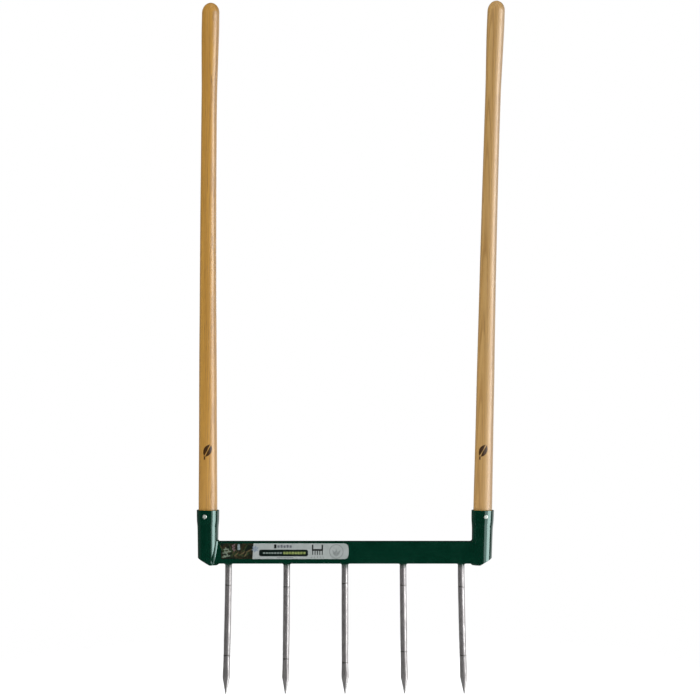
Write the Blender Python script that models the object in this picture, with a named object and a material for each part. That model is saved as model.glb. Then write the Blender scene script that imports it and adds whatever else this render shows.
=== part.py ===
"""Two-handled lawn aerator fork: ash handles in welded steel sockets, a crossbeam and five curved tines.

X runs across the fork, -Y is its front and +Z is up. The origin is at the point of the middle tine, level
with the ground that the points are about to enter. The handles lean to the front, and the tines curve to it.
Pieces are drawn in millimetres round the middle of the crossbeam's underside, and an empty that holds
them all lifts the finished fork onto its points.
"""

import math

import bmesh
import bpy
from mathutils import Matrix, Vector

MM = 0.001
GAP = 0.3  # clearance between pieces that touch on the real fork

# Crossbeam, a rectangular steel tube
BEAM_HEIGHT = 40.0
BEAM_DEPTH = 20.0
BEAM_WALL = 2.0
BEAM_CORNER = 2.5
BEAM_PLAIN_HALF = 205.0  # from the middle to where the fish-mouthed end stretches of the tube start
BEAM_END_DRAW = 0.2  # how far the welds' heat has drawn the tube's walls in at its ends

# Handle sockets, tapered steel tubes with a belled mouth
SOCKET_SPACING = 495.0
SOCKET_LEAN = math.radians(9.0)
SOCKET_SKEW = math.radians(0.5)  # both sockets are welded on slightly askew, to the right
SOCKET_SETBACK = 6.0  # how far the axis passes behind the beam's middle, level with its underside
RIM_HEIGHT = 100.0  # the mouth's centre above the beam's underside
SOCKET_WALL = 2.4
SOCKET_PROFILE = ((0.0, 20.2), (22.0, 19.9), (33.0, 19.0), (45.0, 18.7), (115.0, 17.9))  # below rim, radius
RIM_CHAMFER = 0.7
SOCKET_TAIL = 3.4  # how far the socket's foot hangs below the beam
FOOT_START = 4.0  # where the foot's slanted cut starts, inboard of the axis
FOOT_SLANT = math.radians(30.0)

# Handles, turned from ash
HANDLE_PROFILE = (
    (0.0, 16.9),
    (60.0, 16.6),
    (130.0, 16.2),
    (230.0, 15.8),
    (340.0, 15.1),
    (445.0, 14.5),
    (550.0, 14.1),
    (655.0, 13.7),
    (745.0, 13.7),
    (800.0, 14.6),
    (845.0, 15.3),
    (880.0, 15.2),
)  # above the rim, radius
DOME_HEIGHT = 18.0
LEFT_LENGTH = 0.996  # how long each handle was cut, as a share of the profile's length
RIGHT_LENGTH = 1.002
HANDLE_BOW = 4.2  # how far to the right of the socket's axis each handle has warped at its top
TENON_LENGTH = 72.0
TENON_CHAMFER = 2.0
TENON_CONTACT = 30.0  # below the rim, where the tenon meets the socket's taper

# Screws that hold the handles
SCREW_BELOW_RIM = 11.5
SCREW_TURN = math.radians(12.5)  # away from the front, towards the fork's outer side
SCREW_HEAD_RADIUS = 3.9
SCREW_HEAD_HEIGHT = 2.3
SCREW_SHANK_RADIUS = 2.1
SCREW_LENGTH = 22.0

# Tines, forged from round bar
TINE_COUNT = 5
TINE_PITCH = 105.0
TINE_RADIUS = 6.0
TINE_LENGTH = 236.0  # along the curve, from the beam's underside to the point
TINE_STRAIGHT = 5.0
TINE_BEND_LENGTH = 35.0
TINE_BEND = math.radians(9.0)
TINE_SWEEP = math.radians(22.0)  # spread evenly over the whole length
POINT_LENGTH = 30.0
POINT_SPREAD = 0.6  # how much the forging widens the bar where the point starts
POINT_RADIUS = 0.9

# Weld metal
TINE_WELD_LEG = 2.2
SOCKET_WELD_LEG = 2.8
WELD_BULGE = 0.62  # of the leg, how far the bead's rounded face stands off both surfaces at its middle
WELD_REACH_ROUND = 0.94  # of the socket's radius, how far forward or back the bead may climb round it
WELD_STEP = 4.0

# Label on the beam's front face
LABEL_LEFT = -223.5
LABEL_RIGHT = 7.0
LABEL_LOW = 8.3
LABEL_HIGH = 37.0
LABEL_THICKNESS = 0.25
LABEL_END_BULGE = 9.0

BEAM_CORNER_STEPS = 3
ROUND_STEPS = 32
TINE_SIDES = 12


def add_material(name, colour, roughness, metallic):
    material = bpy.data.materials.new(name)
    material.use_nodes = True
    shader = material.node_tree.nodes["Principled BSDF"]
    shader.inputs["Base Color"].default_value = (*colour, 1.0)
    shader.inputs["Roughness"].default_value = roughness
    shader.inputs["Metallic"].default_value = metallic
    material.diffuse_color = (*colour, 1.0)
    return material


def add_object(name, bm, material, parent, placing=None):
    """An object from mesh code in millimetres, put where the placing matrix says under its parent."""
    bmesh.ops.scale(bm, vec=(MM, MM, MM), verts=bm.verts)
    bmesh.ops.recalc_face_normals(bm, faces=bm.faces)
    mesh = bpy.data.meshes.new(name)
    bm.to_mesh(mesh)
    bm.free()
    mesh.shade_smooth()
    mesh.set_sharp_from_angle(angle=math.radians(35.0))
    obj = bpy.data.objects.new(name, mesh)
    bpy.context.scene.collection.objects.link(obj)
    obj.parent = parent
    if placing is not None:
        turn = placing.to_quaternion()
        obj.matrix_local = Matrix.Translation(placing.translation * MM) @ turn.to_matrix().to_4x4()
    if material is not None:
        mesh.materials.append(material)
    return obj


def as_cutter(obj):
    obj.hide_render = True
    obj.display_type = "WIRE"
    return obj


def cut(obj, cutter):
    modifier = obj.modifiers.new("cut_" + cutter.name, "BOOLEAN")
    modifier.operation = "DIFFERENCE"
    modifier.solver = "EXACT"
    modifier.object = cutter


def turned(outline, steps=ROUND_STEPS, closed=False):
    """A turned shape from (radius, height) points. An open outline starts and ends on the axis."""
    bm = bmesh.new()
    points = [bm.verts.new((radius, 0.0, height)) for radius, height in outline]
    pairs = list(zip(points, points[1:]))
    if closed:
        pairs.append((points[-1], points[0]))
    edges = [bm.edges.new(pair) for pair in pairs]
    bmesh.ops.spin(
        bm, geom=points + edges, axis=(0, 0, 1), cent=(0, 0, 0), angle=math.tau, steps=steps, use_merge=True
    )
    bmesh.ops.remove_doubles(bm, verts=bm.verts, dist=1e-4)
    return bm


def skin_rings(bm, rings, closed):
    """Faces between neighbouring rings of vertices, and end caps where the row of rings is open."""
    rows = [[bm.verts.new(point) for point in ring] for ring in rings]
    following = rows[1:] + (rows[:1] if closed else [])
    for row, after in zip(rows, following):
        for i in range(len(row)):
            j = (i + 1) % len(row)
            bm.faces.new((row[i], row[j], after[j], after[i]))
    if not closed:
        bm.faces.new(rows[0][::-1])
        bm.faces.new(rows[-1])
    return bm


def extruded(outline, axis, low, high):
    """A prism: a closed outline of 3-D points, moved along one axis from low to high."""
    direction = Vector(axis)
    rings = [[Vector(point) + direction * place for point in outline] for place in (low, high)]
    return skin_rings(bmesh.new(), rings, closed=False)


def interpolate(table, place):
    """Straight-line value at a place in a table of (place, value) pairs."""
    for (low, first), (high, second) in zip(table, table[1:]):
        if place <= high:
            share = (place - low) / (high - low)
            return first + (second - first) * max(share, 0.0)
    return table[-1][1]


def smooth_table(table, step):
    """The table's curve in even steps, eased so that its slope has no corners."""
    length = table[-1][0]
    count = round(length / step)
    places = [length * i / count for i in range(count + 1)]
    reach = step * 0.9
    values = []
    for place in places:
        near = [min(max(place + reach * k, 0.0), length) for k in (-1.0, -0.5, 0.0, 0.5, 1.0)]
        values.append(sum(interpolate(table, spot) for spot in near) / len(near))
    return list(zip(places, values))


def smoothstep(share):
    share = min(max(share, 0.0), 1.0)
    return share * share * (3.0 - 2.0 * share)


def rounded_rectangle(half_width, half_height, corner, corner_steps):
    """Points round a rectangle with rounded corners, anticlockwise, as (across, up)."""
    points = []
    for quarter, (sign_x, sign_y) in enumerate(((1, 1), (-1, 1), (-1, -1), (1, -1))):
        centre = (sign_x * (half_width - corner), sign_y * (half_height - corner))
        for i in range(corner_steps + 1):
            angle = math.pi / 2 * (quarter + i / corner_steps)
            points.append((centre[0] + corner * math.cos(angle), centre[1] + corner * math.sin(angle)))
    return points


def beam_section(growth, inset=0.0):
    """The beam's outline as (y, z) points, grown outwards, or drawn inwards by the wall."""
    corner = max(BEAM_CORNER + growth - inset, 0.5)
    half_depth = BEAM_DEPTH / 2 + growth - inset
    half_height = BEAM_HEIGHT / 2 + growth - inset
    outline = rounded_rectangle(half_depth, half_height, corner, BEAM_CORNER_STEPS)
    return [(y, z + BEAM_HEIGHT / 2) for y, z in outline]


def socket_radius(below_rim):
    return interpolate(SOCKET_PROFILE, below_rim)


def socket_placing(side):
    """The socket's frame: origin at the centre of its mouth, Z up along its axis."""
    askew = RIM_HEIGHT * math.tan(SOCKET_SKEW)
    forward = SOCKET_SETBACK - RIM_HEIGHT * math.tan(SOCKET_LEAN)
    rim = Vector((side * SOCKET_SPACING / 2 + askew, forward, RIM_HEIGHT))
    turn = Matrix.Rotation(SOCKET_SKEW, 4, "Y") @ Matrix.Rotation(SOCKET_LEAN, 4, "X")
    return Matrix.Translation(rim) @ turn


def socket_envelope(growth):
    """A solid of the socket's outer shape, grown by a clearance."""
    outer = [(radius + growth, -below) for below, radius in SOCKET_PROFILE]
    return turned([(0.0, outer[0][1]), *outer, (0.0, outer[-1][1])])


def handle_outline(length):
    """Half of the handle's outline from the foot of its tenon to the top of its dome."""
    contact = socket_radius(TENON_CONTACT) - SOCKET_WALL - GAP
    foot = socket_radius(TENON_LENGTH) - SOCKET_WALL - GAP
    outline = [(0.0, -TENON_LENGTH), (foot - TENON_CHAMFER, -TENON_LENGTH)]
    outline += [(foot, TENON_CHAMFER - TENON_LENGTH), (contact, -TENON_CONTACT)]
    outline += [(radius, height * length) for height, radius in smooth_table(HANDLE_PROFILE, 44.0)]
    top, shoulder = HANDLE_PROFILE[-1][0] * length, HANDLE_PROFILE[-1][1]
    for i in range(1, 6):
        angle = math.pi / 2 * i / 6
        outline.append((shoulder * math.cos(angle), top + DOME_HEIGHT * math.sin(angle)))
    outline.append((0.0, top + DOME_HEIGHT))
    return outline


def screw_placing(side):
    """The screw's frame: origin on the socket's outer surface, Z out along the screw's axis."""
    turn = Matrix.Rotation(side * SCREW_TURN, 4, "Z")
    facing = Matrix.Rotation(math.pi / 2, 4, "X")
    reach = socket_radius(SCREW_BELOW_RIM) + GAP
    return socket_placing(side) @ turn @ Matrix.Translation((0.0, -reach, -SCREW_BELOW_RIM)) @ facing


def screw_cutter(name, side, parent):
    """The hole for the screw's shank, through the socket's wall and into the tenon."""
    radius = SCREW_SHANK_RADIUS + GAP
    low = -SCREW_LENGTH - GAP
    bm = turned([(0.0, low), (radius, low), (radius, GAP), (0.0, GAP)], steps=16)
    return as_cutter(add_object(name, bm, None, parent, screw_placing(side)))


def make_handle(name, side, material, parent, hole):
    bm = turned(handle_outline(LEFT_LENGTH if side < 0 else RIGHT_LENGTH))
    for vert in bm.verts:
        share = max(vert.co.z, 0.0) / HANDLE_PROFILE[-1][0]
        vert.co.x += HANDLE_BOW * share**2 * (2.0 * share - 1.0)
    handle = add_object(name, bm, material, parent, socket_placing(side))
    cut(handle, hole)


def foot_cutter(name, side, parent):
    """What the sawn foot of a socket loses: everything under a slanted cut and a level one."""
    start = side * (SOCKET_SPACING / 2 - FOOT_START)
    outer = start + side * 60.0
    inner = start - side * 60.0
    rise = 60.0 * math.tan(FOOT_SLANT)
    outline = [
        (outer, 0.0, rise - SOCKET_TAIL),
        (start, 0.0, -SOCKET_TAIL),
        (inner, 0.0, -SOCKET_TAIL),
        (inner, 0.0, -60.0),
        (outer, 0.0, -60.0),
    ]
    return as_cutter(add_object(name, extruded(outline, (0, 1, 0), -60.0, 60.0), None, parent))


def make_socket(name, side, material, parent, hole, foot):
    outer = [(radius, -below) for below, radius in SOCKET_PROFILE]
    inner = [(radius - SOCKET_WALL, height) for radius, height in reversed(outer)]
    mouth = [
        (inner[-1][0], -RIM_CHAMFER),
        (inner[-1][0] + RIM_CHAMFER, 0.0),
        (outer[0][0] - RIM_CHAMFER, 0.0),
        (outer[0][0], -RIM_CHAMFER),
    ]
    tube = turned(mouth + outer[1:] + inner[:-1], closed=True)
    for vert in tube.verts:
        if vert.co.z > -2.0 * RIM_CHAMFER:  # the mouth is sawn level, from its front edge back
            vert.co.z -= (vert.co.y + outer[0][0]) * math.tan(SOCKET_LEAN)
    socket = add_object(name, tube, material, parent, socket_placing(side))
    cut(socket, hole)
    cut(socket, foot)


def make_crossbeam(material, parent, envelopes):
    """The tube, fish-mouthed at both ends, with a hole for each tine in its lower wall."""
    end = SOCKET_SPACING / 2
    places = ((-end, BEAM_END_DRAW), (-BEAM_PLAIN_HALF, 0.0), (BEAM_PLAIN_HALF, 0.0), (end, BEAM_END_DRAW))
    bm = bmesh.new()
    loops = []
    for inset in (0.0, BEAM_WALL):
        rows = []
        for x, draw in places:
            rows.append([bm.verts.new((x, y, z)) for y, z in beam_section(-draw, inset=inset)])
        loops.append(rows)
    for rows in loops:
        for row, after in zip(rows, rows[1:]):
            for i in range(len(row)):
                j = (i + 1) % len(row)
                bm.faces.new((row[i], row[j], after[j], after[i]))
    for row, lining in ((loops[0][0], loops[1][0]), (loops[0][-1], loops[1][-1])):
        for i in range(len(row)):
            j = (i + 1) % len(row)
            bm.faces.new((row[i], row[j], lining[j], lining[i]))
    beam = add_object("crossbeam", bm, material, parent)
    for envelope in envelopes:
        cut(beam, envelope)
    radius = TINE_RADIUS + GAP
    for number, x in tine_places():
        bm = turned([(0.0, -5.0), (radius, -5.0), (radius, 5.0), (0.0, 5.0)], steps=TINE_SIDES)
        placing = Matrix.Translation((x, 0.0, 0.0))
        cut(beam, as_cutter(add_object(f"tine_hole_{number}", bm, None, parent, placing)))


def seam_path(growth):
    """Points round the beam at a distance out from its surface, closer together than its corners are."""
    section = beam_section(growth)
    path = []
    for i, (y0, z0) in enumerate(section):
        y1, z1 = section[(i + 1) % len(section)]
        steps = max(1, round(math.hypot(y1 - y0, z1 - z0) / WELD_STEP))
        path += [(y0 + (y1 - y0) * k / steps, z0 + (z1 - z0) * k / steps) for k in range(steps)]
    return path


def make_socket_weld(name, side, material, parent):
    """A closed fillet of weld metal along the seam, with one leg on the beam and one on the socket."""
    placing = socket_placing(side)
    upright = placing.inverted()
    bulge = WELD_BULGE * SOCKET_WELD_LEG
    corners = ((GAP, 0.0), (GAP + SOCKET_WELD_LEG, 0.0), (GAP + bulge, bulge), (GAP, SOCKET_WELD_LEG))
    columns = []
    for off_beam, along_beam in corners:
        column = []
        for y, z in seam_path(off_beam):
            local = upright @ Vector((side * SOCKET_SPACING / 2 + z * math.tan(SOCKET_SKEW), y, z))
            radius = socket_radius(-local.z) + GAP
            most = WELD_REACH_ROUND * radius
            across = min(max(local.y, -most), most)
            reach = math.sqrt(radius**2 - across**2)
            inward = Vector((-side * (reach + along_beam), 0.0, 0.0))
            column.append(placing @ Vector((0.0, across, local.z)) + inward)
        columns.append(column)
    rings = list(zip(*columns))
    add_object(name, skin_rings(bmesh.new(), rings, closed=True), material, parent)


def make_screw(name, side, material, parent):
    head = [(0.0, SCREW_HEAD_HEIGHT)]
    for i in range(1, 5):
        angle = math.pi / 2 * i / 4
        height = SCREW_HEAD_HEIGHT * (0.15 + 0.85 * math.cos(angle))
        head.append((SCREW_HEAD_RADIUS * math.sin(angle), height))
    shank = [
        (SCREW_HEAD_RADIUS, 0.0),
        (SCREW_SHANK_RADIUS, 0.0),
        (SCREW_SHANK_RADIUS, 5.0 - SCREW_LENGTH),
        (0.0, -SCREW_LENGTH),
    ]
    add_object(name, turned(head + shank, steps=16), material, parent, screw_placing(side))


def tine_places():
    middle = (TINE_COUNT - 1) / 2
    return [(i + 1, (i - middle) * TINE_PITCH) for i in range(TINE_COUNT)]


def tine_slope(along):
    """How far the bar has turned to the front, at a distance along it below the beam."""
    bend = TINE_BEND * smoothstep((along - TINE_STRAIGHT) / TINE_BEND_LENGTH)
    return bend + TINE_SWEEP * smoothstep(along / TINE_STRAIGHT) * max(along, 0.0) / TINE_LENGTH


def tine_section(along):
    """Half width and half thickness of the bar, forged wider where its point starts."""
    to_point = TINE_LENGTH - along
    if to_point < POINT_LENGTH:
        share = to_point / POINT_LENGTH
        half_width = POINT_RADIUS + (TINE_RADIUS + POINT_SPREAD - POINT_RADIUS) * share
        half_thickness = POINT_RADIUS + (TINE_RADIUS - POINT_SPREAD - POINT_RADIUS) * share
        return half_width, half_thickness
    spread = POINT_SPREAD * smoothstep(1.0 - (to_point - POINT_LENGTH) / 30.0)
    return TINE_RADIUS + spread, TINE_RADIUS - spread


def make_tine(number, x, material, parent):
    tang_top = BEAM_HEIGHT - BEAM_WALL - GAP
    stations = [(-tang_top, 0.8), (0.8 - tang_top, 1.0), (0.0, 1.0)]
    below = [TINE_STRAIGHT, 14.0, 24.0, 36.0] + [52.0 + 22.0 * i for i in range(6)]
    below += [TINE_LENGTH - POINT_LENGTH * share for share in (1.3, 1.0, 0.75, 0.5, 0.25, 0.08, 0.0)]
    stations += [(along, 1.0) for along in below]
    rings = []
    for along, scale in stations:
        centre, forward, slope = tine_point(along)
        half_width, half_thickness = tine_section(along)
        middle = Vector((x, forward, centre))
        thick = Vector((0.0, math.cos(slope), -math.sin(slope)))
        rings.append(
            [
                middle
                + Vector((scale * half_width * math.cos(angle), 0.0, 0.0))
                + thick * (scale * half_thickness * math.sin(angle))
                for angle in (math.tau * k / TINE_SIDES for k in range(TINE_SIDES))
            ]
        )
    add_object(f"tine_{number}", skin_rings(bmesh.new(), rings, closed=False), material, parent)


def tine_point(along):
    """Height, front-to-back place and slope of the bar's middle line at a distance along it."""
    height, forward = -min(along, 0.0), 0.0
    steps = 120
    for i in range(steps if along > 0.0 else 0):
        slope = tine_slope(along * (i + 0.5) / steps)
        height -= math.cos(slope) * along / steps
        forward -= math.sin(slope) * along / steps
    return height, forward, tine_slope(along)


def make_tine_weld(number, x, material, parent):
    inner = TINE_RADIUS + GAP
    outline = [
        (inner, -GAP),
        (inner + TINE_WELD_LEG, -GAP),
        (inner + TINE_WELD_LEG * 0.93, -GAP - TINE_WELD_LEG * 0.35),
        (inner + TINE_WELD_LEG * 0.6, -GAP - TINE_WELD_LEG * 0.7),
        (inner, -GAP - TINE_WELD_LEG),
    ]
    placing = Matrix.Translation((x, 0.0, 0.0))
    add_object(f"tine_weld_{number}", turned(outline, steps=24, closed=True), material, parent, placing)


def make_label(material, parent):
    """A thin sheet with a square left end and a bowed, round-cornered right end."""
    half = (LABEL_HIGH - LABEL_LOW) / 2
    middle = (LABEL_HIGH + LABEL_LOW) / 2
    outline = [(LABEL_LEFT, 0.0, LABEL_LOW), (LABEL_LEFT, 0.0, LABEL_HIGH)]
    for i in range(17):
        angle = math.pi / 2 * (1.0 - i / 8)
        x = LABEL_RIGHT - LABEL_END_BULGE + LABEL_END_BULGE * math.copysign(abs(math.cos(angle)) ** 0.7, 1.0)
        outline.append((x, 0.0, middle + half * math.copysign(abs(math.sin(angle)) ** 0.7, math.sin(angle))))
    back = -BEAM_DEPTH / 2 - GAP
    bm = extruded(outline, (0, 1, 0), back - LABEL_THICKNESS, back)
    bmesh.ops.remove_doubles(bm, verts=bm.verts, dist=1e-3)
    add_object("front_label", bm, material, parent)


def stand_on_points(parent):
    """Moves the fork so that the origin is on the middle tine's point, level with the points' lowest edge."""
    height, forward, slope = tine_point(TINE_LENGTH)
    lowest = height - POINT_RADIUS * math.sin(slope)
    parent.location = (0.0, -forward * MM, -lowest * MM)


def clear_scene():
    for obj in list(bpy.data.objects):
        bpy.data.objects.remove(obj, do_unlink=True)


def main():
    clear_scene()
    wood = add_material("ash_wood", (0.46, 0.27, 0.11), 0.5, 0.0)
    paint = add_material("green_paint", (0.003, 0.03, 0.018), 0.25, 0.0)
    steel = add_material("forged_steel", (0.12, 0.12, 0.13), 0.45, 1.0)
    zinc = add_material("zinc", (0.6, 0.6, 0.58), 0.3, 1.0)
    print_stock = add_material("label_print", (0.5, 0.55, 0.53), 0.4, 0.0)

    fork = bpy.data.objects.new("aerator_fork", None)
    bpy.context.scene.collection.objects.link(fork)

    envelopes = []
    for name, side in (("left", -1), ("right", 1)):
        grown = add_object(f"{name}_socket_envelope", socket_envelope(GAP), None, fork, socket_placing(side))
        envelopes.append(as_cutter(grown))
        hole = screw_cutter(f"{name}_screw_hole", side, fork)
        foot = foot_cutter(f"{name}_foot_cut", side, fork)
        make_handle(f"{name}_handle", side, wood, fork, hole)
        make_socket(f"{name}_socket", side, paint, fork, hole, foot)
        make_socket_weld(f"{name}_socket_weld", side, paint, fork)
        make_screw(f"{name}_handle_screw", side, zinc, fork)
    make_crossbeam(paint, fork, envelopes)
    for number, x in tine_places():
        make_tine(number, x, steel, fork)
        make_tine_weld(number, x, paint, fork)
    make_label(print_stock, fork)
    stand_on_points(fork)


main()
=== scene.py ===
"""Looks of the two-handled lawn aerator fork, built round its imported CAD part.

Pieces are drawn in millimetres in the fork's own terms: X across it from the crossbeam's middle, -Y to its
front and Z up from the crossbeam's underside. Where they go is worked out from the boxes of the CAD nodes.
"""

import math
import random

import bmesh
import bpy
from mathutils import Matrix, Vector, noise
from mathutils.geometry import delaunay_2d_cdt


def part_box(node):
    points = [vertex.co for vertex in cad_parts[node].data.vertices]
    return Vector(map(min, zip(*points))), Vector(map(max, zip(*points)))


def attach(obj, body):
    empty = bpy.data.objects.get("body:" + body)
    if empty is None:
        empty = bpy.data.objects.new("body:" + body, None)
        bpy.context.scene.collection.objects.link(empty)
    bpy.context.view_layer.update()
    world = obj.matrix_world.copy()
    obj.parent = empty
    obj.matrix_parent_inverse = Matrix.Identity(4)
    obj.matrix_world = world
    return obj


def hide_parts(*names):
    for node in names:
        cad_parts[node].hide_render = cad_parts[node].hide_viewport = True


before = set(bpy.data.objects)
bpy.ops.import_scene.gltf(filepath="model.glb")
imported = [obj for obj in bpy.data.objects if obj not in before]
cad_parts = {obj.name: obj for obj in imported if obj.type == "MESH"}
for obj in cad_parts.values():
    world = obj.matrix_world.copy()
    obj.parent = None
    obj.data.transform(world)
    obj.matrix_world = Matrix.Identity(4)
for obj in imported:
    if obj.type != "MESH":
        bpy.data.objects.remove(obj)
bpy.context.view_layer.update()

MM = 0.001


def node_box(node):
    low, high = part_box(node)
    return low / MM, high / MM


# Places, from the CAD
BEAM_LOW, BEAM_HIGH = node_box("crossbeam")
LABEL_BOX_LOW, LABEL_BOX_HIGH = node_box("front_label")
ORIGIN = Vector((0.0, (BEAM_LOW.y + BEAM_HIGH.y) / 2, BEAM_LOW.z))  # middle of the beam's underside
BEAM_HEIGHT = BEAM_HIGH.z - BEAM_LOW.z
BEAM_DEPTH = BEAM_HIGH.y - BEAM_LOW.y

# Crossbeam
BEAM_CORNER = 2.5
BEAM_WALL = 2.0

# Sockets: distance below the rim, and radius
SOCKET_PROFILE = ((0.0, 20.2), (22.0, 19.9), (33.0, 19.0), (45.0, 18.7), (115.0, 17.9))
SOCKET_X = 247.5  # from the fork's middle to a socket's axis, level with the beam's underside
SOCKET_LEAN = math.radians(9.0)
SOCKET_SKEW = math.radians(0.5)  # to the right, on both sides
SOCKET_SETBACK = 6.0
RIM_HEIGHT = 100.0
SOCKET_WALL = 2.4
LIP_RADIUS = 0.8
RIM_CUT_REACH = 22.0  # how far below the rim its level cut still slants the rows of the mesh
SOCKET_TAIL = 3.4
FOOT_START = 4.0
FOOT_SLANT = math.radians(30.0)
FOOT_SOUGHT = (60.0, 125.0)  # the depths below the rim between which the foot is

# Handles: height above the rim, and radius
HANDLE_PROFILE = (
    (-72.0, 14.4),
    (-30.0, 16.2),
    (0.0, 16.9),
    (60.0, 16.6),
    (130.0, 16.2),
    (230.0, 15.8),
    (340.0, 15.1),
    (445.0, 14.5),
    (550.0, 14.1),
    (655.0, 13.7),
    (745.0, 13.7),
    (800.0, 14.6),
    (845.0, 15.3),
    (880.0, 15.2),
)
DOME_HEIGHT = 17.8
LEFT_LENGTH = 0.996  # how long each handle was cut, as a share of the profile's length
RIGHT_LENGTH = 1.002
HANDLE_BOW = 4.2  # how far to the right of the socket's axis each handle has warped at its top
MARK_HEIGHT = 107.0  # of the burnt-in mark's middle above the rim
MARK_ROUND = 14.5  # radius of the leaf's two edges
MARK_SHIFT = 3.5  # how far the right handle's mark sits towards the fork's middle

# Each handle's length as a share of the profile's, its mark's shift from its middle, and its wood's two tones
HANDLES = {
    "left": (LEFT_LENGTH, 0.0, (0.73, 0.395, 0.080), (0.60, 0.31, 0.056)),
    # The right handle's two tones are paler and greyer than the left's. This is partly the wood's own tone
    # and partly painted light: a lit copy of the same ash, for the handle that stands nearer the lamps at the
    # fork's right.
    "right": (RIGHT_LENGTH, -MARK_SHIFT, (0.72, 0.45, 0.165), (0.61, 0.36, 0.120)),
}

# Screws
SCREW_BELOW_RIM = 11.5
SCREW_TURN = math.radians(12.5)
SCREW_RADIUS = 3.9
SCREW_HEIGHT = 2.3
SCREW_SHANK = 2.0
SCREW_LENGTH = 22.0
SCREW_POINT = 5.0
CROSS_DEPTH = 1.3
CROSS_REACH = 2.2  # from the middle of the head to the end of an arm of its recess

# Tines
TINE_COUNT = 5
TINE_PITCH = 105.0
TINE_RADIUS = 6.0
TINE_LENGTH = 236.0
TINE_TANG = 37.0
TINE_STRAIGHT = 5.0
TINE_BEND_LENGTH = 35.0
TINE_BEND = math.radians(9.0)
TINE_SWEEP = math.radians(22.0)
POINT_LENGTH = 30.0
POINT_SPREAD = 0.6
POINT_RADIUS = 0.9

# Welds
TINE_WELD_LEG = 2.1
SOCKET_WELD_LEG = 2.7
WELD_SINK = 0.3  # how deep a weld's hidden corner is sunk into the metal under it
RIPPLE = 1.6  # length of one ripple along a weld


# ---------------------------------------------------------------- mesh helpers


def skin(rings, closed=False):
    """Vertices and faces over a row of rings of points. A ring of one point is a pole."""
    points = []
    starts = []
    for ring in rings:
        starts.append(len(points))
        points += ring
    pairs = [(i, i + 1) for i in range(len(rings) - 1)]
    if closed:
        pairs.append((len(rings) - 1, 0))
    faces = []
    for a, b in pairs:
        sides = max(len(rings[a]), len(rings[b]))
        for i in range(sides):
            here = [starts[a] + k % len(rings[a]) for k in (i, (i + 1) % sides)]
            there = [starts[b] + k % len(rings[b]) for k in ((i + 1) % sides, i)]
            faces.append(list(dict.fromkeys(here + there)))
    return points, faces


def disc(x, y, radius, steps=24):
    """Points round a circle."""
    angles = [math.tau * k / steps for k in range(steps)]
    return [(x + radius * math.cos(angle), y + radius * math.sin(angle)) for angle in angles]


def add_piece(name, shape, materials, node, placing=None, sharp=35.0, face_materials=()):
    """A piece from points in millimetres and faces. It stands for one CAD node and rides with the fork."""
    points, faces = shape
    local = placing if placing is not None else Matrix.Identity(4)
    mesh = bpy.data.meshes.new(name)
    mesh.from_pydata([tuple(local @ Vector(point) * MM) for point in points], [], faces)
    for material in materials:
        mesh.materials.append(material)
    for face, index in zip(mesh.polygons, face_materials):
        face.material_index = index
    bm = bmesh.new()
    bm.from_mesh(mesh)
    bmesh.ops.recalc_face_normals(bm, faces=bm.faces)
    bm.to_mesh(mesh)
    bm.free()
    mesh.shade_smooth()
    mesh.set_sharp_from_angle(angle=math.radians(sharp))
    obj = bpy.data.objects.new(name, mesh)
    bpy.context.scene.collection.objects.link(obj)
    obj.location = ORIGIN * MM
    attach(obj, "root")
    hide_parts(node)
    return obj


def eased(table, place):
    """A smooth curve's value at a place in a table of (place, value) pairs."""
    last = len(table) - 1
    i = max(k for k in range(last) if table[k][0] <= place or k == 0)

    def slope(k):
        low, high = table[max(k - 1, 0)], table[min(k + 1, last)]
        return (high[1] - low[1]) / (high[0] - low[0])

    width = table[i + 1][0] - table[i][0]
    t = min(max((place - table[i][0]) / width, 0.0), 1.0)
    ends = (2 * t**3 - 3 * t**2 + 1) * table[i][1] + (3 * t**2 - 2 * t**3) * table[i + 1][1]
    slopes = (t**3 - 2 * t**2 + t) * slope(i) + (t**3 - t**2) * slope(i + 1)
    return ends + slopes * width


def straight(table, place):
    """The straight-line value at a place in a table of (place, value) pairs."""
    for (low, first), (high, second) in zip(table, table[1:]):
        if place <= high:
            return first + (second - first) * max((place - low) / (high - low), 0.0)
    return table[-1][1]


def smoothstep(share):
    share = min(max(share, 0.0), 1.0)
    return share * share * (3.0 - 2.0 * share)


def span(low, high, count):
    return [low + (high - low) * i / count for i in range(count + 1)]


def uneven(place, scale, seed):
    """Smooth noise from -1 to 1 at a point in millimetres."""
    return noise.noise(Vector(place) * scale + Vector((seed * 7.3, seed * 3.1, seed * 5.7)))


def ripple(along):
    """The rounded steps that a weld's bead cools in, from 0 to 1."""
    return abs(math.sin(math.pi * along / RIPPLE))


# ---------------------------------------------------------------- shapes


def socket_radius(below):
    return straight(SOCKET_PROFILE, below)


def socket_placing(side):
    """The frame of a socket and its handle: origin at the centre of the rim, Z up along the axis."""
    across = side * SOCKET_X + RIM_HEIGHT * math.tan(SOCKET_SKEW)
    rim = Vector((across, SOCKET_SETBACK - RIM_HEIGHT * math.tan(SOCKET_LEAN), RIM_HEIGHT))
    turn = Matrix.Rotation(SOCKET_SKEW, 4, "Y") @ Matrix.Rotation(SOCKET_LEAN, 4, "X")
    return Matrix.Translation(rim) @ turn


def handle_warp(height):
    """How far to the right the middle of the handle is at a height above the rim."""
    share = max(height, 0.0) / HANDLE_PROFILE[-1][0]
    return HANDLE_BOW * share**2 * (2.0 * share - 1.0)


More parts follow.
